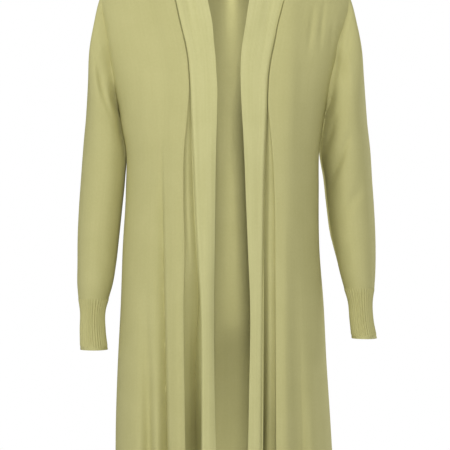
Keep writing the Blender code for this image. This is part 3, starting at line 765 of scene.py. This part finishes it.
# Creases of the fronts, sleeves and bands where the photograph shows them, by the pixels
# that they are seen at: the path, the half widths to its left and right, the depths in mm
# at its top, middle and foot (ridges negative), and a power below 2 where the bottom is
# sharp. A front and its sleeve share those of the armhole
CREASES = {
    "armhole_right": (
        (
            ((101, 8), (105, 26), (107, 43), (109.5, 61), (112, 80), (118, 112)),
            2.5,
            2.5,
            (1.0, 3.5, 1.0),
        ),
    ),
    "armhole_left": (
        (
            ((348, 8), (343, 25), (340, 43), (337, 61), (333, 80), (328, 112)),
            5.0,
            4.0,
            (1.0, 6.0, 2.0),
        ),
    ),
    "front_right": (
        (
            ((161, 130), (162, 200), (163.5, 300), (165.5, 400), (167, 482)),
            9.0,
            1.0,
            (0.0, 18.0, 28.0),
            1.3,
        ),
        (((176, 60), (177, 200), (177, 350), (178, 450)), 7.0, 6.0, (0.0, -2.0, -2.5)),
        (((144, 270), (147, 370), (149, 482)), 7.0, 4.0, (0.0, 8.0, 17.0)),
        (((137, 40), (134, 110), (131, 200)), 7.0, 7.0, (0.0, 1.5, 0.0)),
        (((155, 150), (154, 250), (155, 330)), 5.0, 5.0, (0.0, -1.2, 0.0)),
    ),
    "front_left": (
        (((313, 8), (310.5, 30), (307, 58)), 3.0, 3.0, (1.0, 2.4, 0.0)),
        (((324, 3), (321, 25), (319, 55)), 2.6, 2.6, (1.0, 2.2, 0.0)),
        (((333, 15), (331, 40), (328, 62)), 2.4, 2.4, (0.0, 1.6, 0.0)),
        (((290, 0), (289, 150), (289, 300), (288, 450)), 14.0, 12.0, (-4.0, -6.0, -4.0)),
        (((302, 20), (301, 100), (300, 180)), 6.0, 10.0, (0.5, 1.5, 0.5)),
        (((298, 200), (298, 280), (300, 360), (303, 482)), 9.0, 3.0, (0.0, 0.6, 6.5), 1.5),
        (((305, 280), (308, 380), (312, 482)), 5.0, 6.0, (0.0, -1.5, -3.0)),
        (((317, 300), (319, 380), (321, 482)), 4.0, 4.0, (0.0, 1.0, 2.0)),
    ),
    "sleeve_right": (
        (((94, 46), (96.5, 65), (100, 83), (104, 98), (111, 118)), 2.5, 3.5, (0.5, 5.0, 1.0)),
        (((116, 108), (119, 120), (122, 134), (126, 152)), 3.0, 6.0, (0.0, 11.0, 12.0), 1.5),
        (((101, 20), (104, 45), (108, 70)), 2.4, 2.4, (0.5, 1.6, 0.5)),
        (((96, 240), (104, 262), (110, 280)), 5.0, 5.0, (0.0, 1.8, 0.0)),
        (((117, 100), (121, 130), (122, 170), (118, 220)), 10.0, 12.0, (0.0, 8.0, 0.0)),
        (((84, 258), (92, 282), (99, 297)), 4.0, 4.0, (0.0, 1.4, 0.0)),
    ),
    "sleeve_left": (
        (((352, 22), (346, 50), (340, 78)), 2.4, 3.0, (0.5, 2.6, 0.5)),
        (((347, 20), (342.5, 42), (337.5, 66)), 1.8, 1.8, (-0.5, -1.6, -0.3)),
        (
            ((332, 80), (327, 128), (322, 165), (328, 215), (334, 255)),
            12.0,
            12.0,
            (0.0, 18.0, 4.0),
        ),
        (
            ((331, 84), (324, 128), (321, 160), (326, 210), (333, 255)),
            4.0,
            5.0,
            (0.0, 16.0, 6.0),
        ),
        (((336, 112), (332, 130), (323, 160)), 4.5, 3.0, (0.0, 10.0, 5.0), 1.5),
        (((350, 130), (341, 158), (326, 194)), 7.0, 3.5, (0.0, 11.0, 5.0), 1.5),
        (((364, 165), (358, 192), (334, 226)), 6.0, 6.0, (0.0, 4.0, 2.0)),
        (((352, 232), (345, 255), (340, 275)), 4.0, 5.0, (0.0, 2.0, 0.0)),
    ),
    "band_right": (
        (((186, -8), (189, 14), (191, 34)), 4.0, 5.0, (2.0, 2.2, 0.0)),
    ),
    "band_left": (
        (((271, -8), (268, 10), (263, 34)), 5.0, 5.0, (2.0, 2.2, 0.0)),
        (((264, 200), (263, 300), (262.5, 400), (262, 482)), 2.6, 6.0, (0.0, 2.5, 6.0)),
    ),
}

# Creases behind, which the photograph doesn't show, by the same pixels seen through the cloth
CREASES_BEHIND = {
    "back": (
        (((172, 70), (169, 200), (166, 330), (160, 482)), 5.0, 7.0, (0.0, 3.0, 8.0)),
        (((258, 50), (262, 160), (268, 300), (276, 482)), 7.0, 5.0, (0.5, 3.0, 8.0)),
        (((199, 290), (197, 380), (192, 482)), 5.0, 5.0, (0.0, 2.5, 6.0)),
        (((300, 260), (303, 360), (308, 482)), 6.0, 5.0, (0.0, 2.5, 7.0)),
        (((136, 55), (129, 88), (125, 118)), 4.0, 4.0, (0.5, 3.0, 0.5)),
        (((314, 50), (321, 86), (325, 116)), 4.0, 4.0, (0.5, 3.0, 0.5)),
    ),
    "sleeve_right": (
        (((112, 130), (98, 150), (88, 166)), 4.0, 5.0, (0.5, 3.5, 0.5)),
        (((113, 186), (99, 200), (86, 208)), 4.0, 4.0, (0.5, 3.0, 0.0)),
        (((108, 240), (97, 255), (87, 262)), 4.0, 4.0, (0.5, 2.5, 0.0)),
    ),
    "sleeve_left": (
        (((333, 140), (347, 158), (358, 172)), 4.0, 5.0, (0.5, 3.5, 0.5)),
        (((334, 196), (348, 209), (364, 216)), 4.0, 4.0, (0.5, 3.0, 0.0)),
        (((343, 246), (354, 258), (366, 264)), 4.0, 4.0, (0.5, 2.5, 0.0)),
    ),
}

# How far the creases of a sleeve fade out beside the armhole, and how they fade where the
# cloth turns aside
SEAM_HOLD = 16.0
FACING_START = 0.02
FACING_SPAN = 0.3

# Free edges of the bands curl back a little: over how far, and how much
EDGE_CURL_WIDTH = 18.0
EDGE_CURL = {
    "right": ((250.0, 0.5), (437.0, 5.0), (609.0, 8.0), (781.0, 7.0), (920.0, 5.0)),
    "left": ((160.0, 0.5), (400.0, 1.0), (920.0, 1.5)),
}


def seen(grid):
    """Where the photograph's camera sees the points of a grid, in pixels."""
    scale = CAMERA_DISTANCE * PHOTO_SIDE / FIELD / (CAMERA_DISTANCE + grid[..., 1])
    across = PHOTO_CENTRE[0] + grid[..., 0] * scale
    down = PHOTO_CENTRE[1] - (grid[..., 2] + CAMERA_DROP) * scale
    return np.stack((across, down), axis=-1)


def path_distance(places, path):
    """How far places lie from a path, and how far along it the nearest point is."""
    path = np.array(path, float)
    steps = np.diff(path, axis=0)
    lengths = np.linalg.norm(steps, axis=1)
    starts = np.concatenate(((0.0,), np.cumsum(lengths)))
    best = np.full(places.shape[:-1], np.inf)
    along = np.zeros(places.shape[:-1])
    for index, step in enumerate(steps):
        offset = places - path[index]
        share = np.clip((offset @ step) / lengths[index] ** 2, 0.0, 1.0)
        gap = np.linalg.norm(offset - share[..., None] * step, axis=-1)
        nearer = gap < best
        best = np.where(nearer, gap, best)
        along = np.where(nearer, (starts[index] + share * lengths[index]) / starts[-1], along)
    return best, along


def creased(grid, closed, creases, facing=-1.0, held=None):
    """A grid with creases pressed in where it faces the photograph's camera, or away.

    held is how far they fade out beside a seam along the grid's first row.
    """
    normals = directions(grid, closed)
    places = seen(grid)
    weight = ease((facing * normals[..., 1] - FACING_START) / FACING_SPAN)
    shift = np.zeros(grid.shape[:2])
    for path, left_width, right_width, depths, *sharp in creases:
        gap, along = path_distance(places, path)
        middle = np.interp(places[..., 1], [p[1] for p in path], [p[0] for p in path])
        width = np.where(places[..., 0] < middle, left_width, right_width)
        depth = np.interp(along, (0.0, 0.5, 1.0), depths)
        power = sharp[0] if sharp else 2.0
        shift += depth * np.exp(-((gap / width) ** power))
    if held:
        shift *= ease(np.linalg.norm(grid - grid[:1], axis=-1) / held)
    pressed = grid.copy()
    pressed[..., 1] -= facing * shift * weight
    return pressed


def sheet_coordinates(grid, closed):
    """The distance across and down the cloth at each point, in millimetres."""
    across = np.linalg.norm(np.diff(grid, axis=1), axis=-1).mean(axis=0)
    if closed:
        across = np.append(across, np.linalg.norm(grid[:, 0] - grid[:, -1], axis=-1).mean())
    u = np.concatenate(((0.0,), np.cumsum(across)))
    down = np.linalg.norm(np.diff(grid, axis=0), axis=-1).mean(axis=1)
    v = np.concatenate(((0.0,), np.cumsum(down)))
    return u, v


def make_cloth(name, grid, closed, material, relief=None):
    """The closed shell of a piece: outer face, inner face and the edges between."""
    normals = directions(grid, closed)
    outer = grid if relief is None else grid + normals * relief[..., None]
    inner = grid - normals * WALL
    rows, columns = grid.shape[:2]
    corners = np.arange(rows * columns).reshape(rows, columns)
    u, v = sheet_coordinates(grid, closed)
    points = np.concatenate((outer.reshape(-1, 3), inner.reshape(-1, 3))) * MM
    second = rows * columns
    spans = columns if closed else columns - 1
    right = (np.arange(spans) + 1) % columns
    left = np.arange(spans)
    faces = []
    places = []

    def add_edge(first, last, place, flip):
        quad = np.stack((first, last, last + second, first + second), axis=-1)
        faces.append(quad[:, ::-1] if flip else quad)
        places.append(place)

    u_left, u_right = u[:spans], u[1 : spans + 1]
    for row in range(rows - 1):
        a, b = corners[row, left], corners[row, right]
        c, d = corners[row + 1, right], corners[row + 1, left]
        quad = np.stack((a, b, c, d), axis=-1)
        top = np.full(spans, v[row])
        foot = np.full(spans, v[row + 1])
        place = np.stack((u_left, top, u_right, top, u_right, foot, u_left, foot), axis=-1)
        faces += [quad, quad[:, ::-1] + second]
        places += [place, place.reshape(-1, 4, 2)[:, ::-1].reshape(-1, 8)]
    for row, flip in ((0, True), (rows - 1, False)):
        line = np.full(spans, v[row])
        place = np.stack((u_left, line, u_right, line, u_right, line, u_left, line), axis=-1)
        add_edge(corners[row, left], corners[row, right], place, flip)
    if not closed:
        for column, flip in ((0, False), (columns - 1, True)):
            line = np.full(rows - 1, u[column])
            place = np.stack((line, v[:-1], line, v[1:], line, v[1:], line, v[:-1]), axis=-1)
            add_edge(corners[:-1, column], corners[1:, column], place, flip)
    faces = np.concatenate(faces)
    places = np.concatenate(places).reshape(-1, 2)
    mesh = bpy.data.meshes.new(name)
    mesh.from_pydata(points.tolist(), [], faces.tolist())
    layer = mesh.uv_layers.new(name="cloth")
    layer.data.foreach_set("uv", (places * MM).ravel())
    mesh.validate()
    mesh.shade_smooth()
    mesh.set_sharp_from_angle(angle=SHARP_ANGLE)
    piece = bpy.data.objects.new(name, mesh)
    bpy.context.collection.objects.link(piece)
    mesh.materials.append(material)
    return piece


class Nodes:
    """Adds shader nodes to a material and links them."""

    def __init__(self, material):
        self.tree = material.node_tree

    def add(self, kind, inputs=None, **settings):
        """A node with its settings, and its inputs linked or set."""
        node = self.tree.nodes.new(kind)
        for name, value in settings.items():
            setattr(node, name, value)
        for key, value in (inputs or {}).items():
            if isinstance(value, bpy.types.NodeSocket):
                self.tree.links.new(value, node.inputs[key])
            else:
                node.inputs[key].default_value = value
        return node

    def math(self, operation, first, second=0.0):
        """One step of arithmetic."""
        node = self.add("ShaderNodeMath", {0: first, 1: second}, operation=operation)
        return node.outputs[0]

    def total(self, *terms):
        """The sum of values, each times its weight."""
        result, *others = (self.math("MULTIPLY", *term) for term in terms)
        for other in others:
            result = self.math("ADD", result, other)
        return result

    def noise(self, place, scale, detail):
        """A noise texture's value."""
        inputs = {"Vector": place, "Scale": scale, "Detail": detail}
        return self.add("ShaderNodeTexNoise", inputs).outputs[0]

    def remap(self, value, source, result):
        """A value moved from one range to another."""
        inputs = {0: value, 1: source[0], 2: source[1], 3: result[0], 4: result[1]}
        return self.add("ShaderNodeMapRange", inputs).outputs[0]

    def blend(self, share, dark, light):
        """A colour between two."""
        node = self.add("ShaderNodeMix", {0: share, 6: dark, 7: light}, data_type="RGBA")
        return node.outputs[2]


# The height of a knit from its columns and stitches, and its tone from streaks, mottling,
# wide patches and painted shade in the grooves from that height, by their weights
STITCH_SLANT = 2.4
STITCH_SHARE = 0.8
HEIGHT_WEIGHTS = (0.6, 0.4)
MOTTLE_WEIGHT = 0.25
WIDE_WEIGHT = 0.35
# How strongly the stitch height darkens the grooves: painted shade
GROOVE_SHADE_WEIGHT = 0.10
FUZZ_WEIGHT = 0.8
STREAK_SCALE = (260.0, 5.0, 1.0)


def knit_material(name, dark, light, wale, streaks):
    """Fine knit: rows of stitches, soft streaks along them and a dull sheen.

    wale is the width of a column of stitches, in metres, and streaks how much the
    columns differ in tone.
    """
    material = bpy.data.materials.new(name)
    material.use_nodes = True
    shader = material.node_tree.nodes["Principled BSDF"]
    shader.inputs["Metallic"].default_value = 0.0
    shader.inputs["Sheen Weight"].default_value = 0.25
    shader.inputs["Sheen Roughness"].default_value = 0.45
    shader.inputs["Sheen Tint"].default_value = (*light, 1.0)
    shader.inputs["Specular IOR Level"].default_value = 0.25
    nodes = Nodes(material)
    place = nodes.add("ShaderNodeUVMap", uv_map="cloth").outputs[0]
    parts = nodes.add("ShaderNodeSeparateXYZ", {0: place}).outputs
    turns = nodes.math("MULTIPLY", parts[0], 2 * math.pi / wale)
    column = nodes.math("SINE", turns)
    half_wave = nodes.math("SINE", nodes.math("MULTIPLY", turns, 0.5))
    slant = nodes.math("MULTIPLY", nodes.math("ABSOLUTE", half_wave), STITCH_SLANT)
    course = nodes.math("MULTIPLY", parts[1], 2 * math.pi / (wale * STITCH_SHARE))
    stitch = nodes.math("SINE", nodes.math("ADD", course, slant))
    height = nodes.total(*zip((column, stitch), HEIGHT_WEIGHTS))
    stretch = nodes.add("ShaderNodeMapping", {0: place, 3: STREAK_SCALE}).outputs[0]
    streak = nodes.noise(stretch, 1.0, 3.0)
    wide = nodes.noise(place, 14.0, 2.0)
    fuzz = nodes.noise(place, 2600.0, 1.0)
    mottle = nodes.noise(place, 240.0, 2.0)
    # The stitch height is mixed into the tone so the grooves between stitches are darker:
    # painted shade
    tone = nodes.total(
        (streak, streaks),
        (mottle, MOTTLE_WEIGHT),
        (wide, WIDE_WEIGHT),
        (height, GROOVE_SHADE_WEIGHT),
    )
    full = streaks + MOTTLE_WEIGHT + WIDE_WEIGHT
    share = nodes.remap(tone, (0.0, full), (0.0, 1.0))
    colour = nodes.blend(share, (*dark, 1.0), (*light, 1.0))
    nodes.tree.links.new(colour, shader.inputs["Base Color"])
    rough = nodes.remap(fuzz, (0.3, 0.7), (0.78, 0.95))
    nodes.tree.links.new(rough, shader.inputs["Roughness"])
    relief = nodes.math("ADD", height, nodes.math("MULTIPLY", fuzz, FUZZ_WEIGHT))
    bump = nodes.add("ShaderNodeBump", {"Strength": 0.5, "Distance": 0.00025, "Height": relief})
    nodes.tree.links.new(bump.outputs[0], shader.inputs["Normal"])
    return material


def resampled(grid, count):
    """Each row of a grid as so many points at even distances along it."""
    rows = []
    for row in grid:
        lengths = np.linalg.norm(np.diff(row, axis=0), axis=-1)
        along = np.concatenate(((0.0,), np.cumsum(lengths)))
        places = np.linspace(0.0, along[-1], count)
        rows.append([np.interp(places, along, values) for values in row.T])
    return np.moveaxis(np.array(rows), 1, -1)


def rib_relief(rows, columns, points_a_rib, depth, fade):
    """How far ribs stand out at each point, fading out above and below."""
    phase = 2 * math.pi * np.arange(columns) / points_a_rib
    down = np.linspace(0.0, 1.0, rows)
    above, below, end = fade
    shown = ease(down / above) * ease((end - down) / below)
    return shown[:, None] * depth * np.cos(phase) / 2


def hem_piece(name, grid, material):
    """The ribbed hem below a piece of the body."""
    length = np.linalg.norm(np.diff(grid[0], axis=0), axis=-1).sum()
    ribs = round(length / HEM_RIB)
    hem = resampled(grid, ribs * HEM_POINTS_A_RIB + 1)
    relief = rib_relief(*hem.shape[:2], HEM_POINTS_A_RIB, HEM_RIB_DEPTH, HEM_FADE)
    return make_cloth(name, hem, False, material, relief)


def cuff_piece(side, material):
    """A ribbed cuff with a plain border at its foot."""
    sheet = CUFF[side]
    first, last = sheet["drop"][0], sheet["drop"][-1]
    columns = CUFF_RIBS * CUFF_POINTS_A_RIB
    turns = 2 * math.pi * np.arange(columns) / columns
    drops = np.linspace(first, last, CUFF_ROWS)
    grid = np.array([ring_points(side, sheet, drop, turns) for drop in drops])
    relief = rib_relief(CUFF_ROWS, columns, CUFF_POINTS_A_RIB, CUFF_RIB_DEPTH, CUFF_FADE)
    down = np.linspace(0.0, 1.0, CUFF_ROWS)
    border = ease((down - CUFF_BORDER_START) / CUFF_FADE[1])
    relief = relief + CUFF_BORDER * border[:, None]
    return make_cloth(f"knit_cuff_{side}", grid, True, material, relief)


def declare(piece, node):
    """Puts a piece of cloth on the root body and hides the CAD part that it stands for."""
    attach(piece, "root")
    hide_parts(node)


jersey = knit_material("jersey_knit", (0.428, 0.405, 0.165), (0.56, 0.53, 0.25), 0.0014, 0.2)
band_knit = knit_material("band_knit", (0.455, 0.438, 0.18), (0.63, 0.603, 0.304), 0.0016, 0.5)
rib_knit = knit_material("rib_knit", (0.428, 0.405, 0.165), (0.55, 0.52, 0.245), 0.0014, 0.2)

rows = body_rows(HEM_SEAM_DROP)
hem_rows = np.linspace(HEM_SEAM_DROP, HEM_DROP, HEM_ROWS)
back_grid = np.array([back_section(row) for row in rows])
back_creases = CREASES_BEHIND["back"]
back = make_cloth("knit_back", creased(back_grid, False, back_creases, 1.0), False, jersey)
declare(back, "back")
hem_grid = np.array([back_section(row) for row in hem_rows])
hem_grid = creased(hem_grid, False, back_creases, 1.0)
hem = hem_piece("knit_hem_back", hem_grid, rib_knit)
declare(hem, "hem_back")
for side in OUT:
    grid = front_grid(side, rows)
    armhole = CREASES[f"armhole_{side}"]
    front_creases = CREASES[f"front_{side}"] + armhole
    front = creased(grid, False, front_creases)
    piece = make_cloth(f"knit_front_{side}", front, False, jersey)
    declare(piece, f"front_{side}")
    sleeve = creased(sleeve_grid(side, grid, back_grid), True, armhole)
    sleeve = creased(sleeve, True, CREASES[f"sleeve_{side}"], held=SEAM_HOLD)
    sleeve = creased(sleeve, True, CREASES_BEHIND[f"sleeve_{side}"], 1.0, SEAM_HOLD)
    piece = make_cloth(f"knit_sleeve_{side}", sleeve, True, jersey)
    declare(piece, f"sleeve_{side}")
    piece = cuff_piece(side, rib_knit)
    declare(piece, f"cuff_{side}")
    band = creased(band_grid(side), False, CREASES[f"band_{side}"])
    piece = make_cloth(f"knit_band_{side}", band, False, band_knit)
    declare(piece, f"band_{side}")
    foot = creased(front_grid(side, hem_rows), False, front_creases)
    piece = hem_piece(f"knit_hem_front_{side}", foot, rib_knit)
    declare(piece, f"hem_front_{side}")


# Floor, light and camera, in metres
FLOOR_DROP = 1.43
FLOOR_RADIUS = 4.4
FLOOR_CORNERS = 96
AMBIENT = 0.3


def make_floor():
    """A plain pale floor."""
    mesh = bpy.data.meshes.new("floor")
    turns = [2 * math.pi * index / FLOOR_CORNERS for index in range(FLOOR_CORNERS)]
    rim = [(FLOOR_RADIUS * math.cos(t), FLOOR_RADIUS * math.sin(t), -FLOOR_DROP) for t in turns]
    mesh.from_pydata(rim, [], [tuple(range(FLOOR_CORNERS))])
    floor = bpy.data.objects.new("floor", mesh)
    bpy.context.collection.objects.link(floor)
    material = bpy.data.materials.new("floor_paint")
    material.use_nodes = True
    shader = material.node_tree.nodes["Principled BSDF"]
    shader.inputs["Roughness"].default_value = 0.9
    nodes = Nodes(material)
    place = nodes.add("ShaderNodeTexCoord").outputs["Object"]
    noise = nodes.noise(place, 3.0, 2.0)
    colour = nodes.blend(noise, (0.83, 0.83, 0.82, 1.0), (0.86, 0.86, 0.85, 1.0))
    nodes.tree.links.new(colour, shader.inputs["Base Color"])
    mesh.materials.append(material)


def add_light(name, place, target, size, power):
    """A soft light, with its width and height as the size."""
    data = bpy.data.lights.new(name, "AREA")
    data.shape = "RECTANGLE"
    data.size, data.size_y = size
    data.energy = power
    light = bpy.data.objects.new(name, data)
    light.location = place
    light.rotation_mode = "QUATERNION"
    light.rotation_quaternion = (Vector(target) - Vector(place)).to_track_quat("-Z", "Y")
    light.visible_camera = False
    bpy.context.collection.objects.link(light)


def make_world(ambient):
    """A white room: plain light on the cloth, and white behind it."""
    world = bpy.data.worlds.new("studio")
    bpy.context.scene.world = world
    world.use_nodes = True
    tree = world.node_tree
    backdrop = tree.nodes["Background"]
    backdrop.inputs["Color"].default_value = (1.0, 1.0, 1.0, 1.0)
    path = tree.nodes.new("ShaderNodeLightPath")
    spread = tree.nodes.new("ShaderNodeMapRange")
    spread.inputs["To Min"].default_value = ambient
    spread.inputs["To Max"].default_value = 1.0
    tree.links.new(path.outputs["Is Camera Ray"], spread.inputs["Value"])
    tree.links.new(spread.outputs[0], backdrop.inputs["Strength"])


# Name, place, target, width and height, and power
LIGHTS = (
    ("front", (0.12, -3.6, 1.15), (0.0, 0.0, -0.22), (0.4, 0.4), 76.0),
    ("key", (-2.1, -1.7, 0.9), (0.0, 0.0, -0.35), (0.9, 0.9), 23.0),
    ("inside", (0.012, 0.077, -0.36), (0.012, 1.077, -0.32), (0.015, 0.62), 0.036),
    ("back", (2.6, 2.6, 0.6), (0.0, 0.0, -0.45), (0.8, 0.8), 60.0),
)

make_floor()
make_world(AMBIENT)
for light in LIGHTS:
    add_light(*light)

camera_data = bpy.data.cameras.new("camera")
camera_data.lens = camera_data.sensor_width * CAMERA_DISTANCE / FIELD
camera = bpy.data.objects.new("camera", camera_data)
camera.location = (0.0, -CAMERA_DISTANCE * MM, -CAMERA_DROP * MM)
camera.rotation_euler = (math.pi / 2, 0.0, 0.0)
bpy.context.collection.objects.link(camera)
bpy.context.scene.camera = camera
bpy.context.scene.view_settings.view_transform = "Standard"
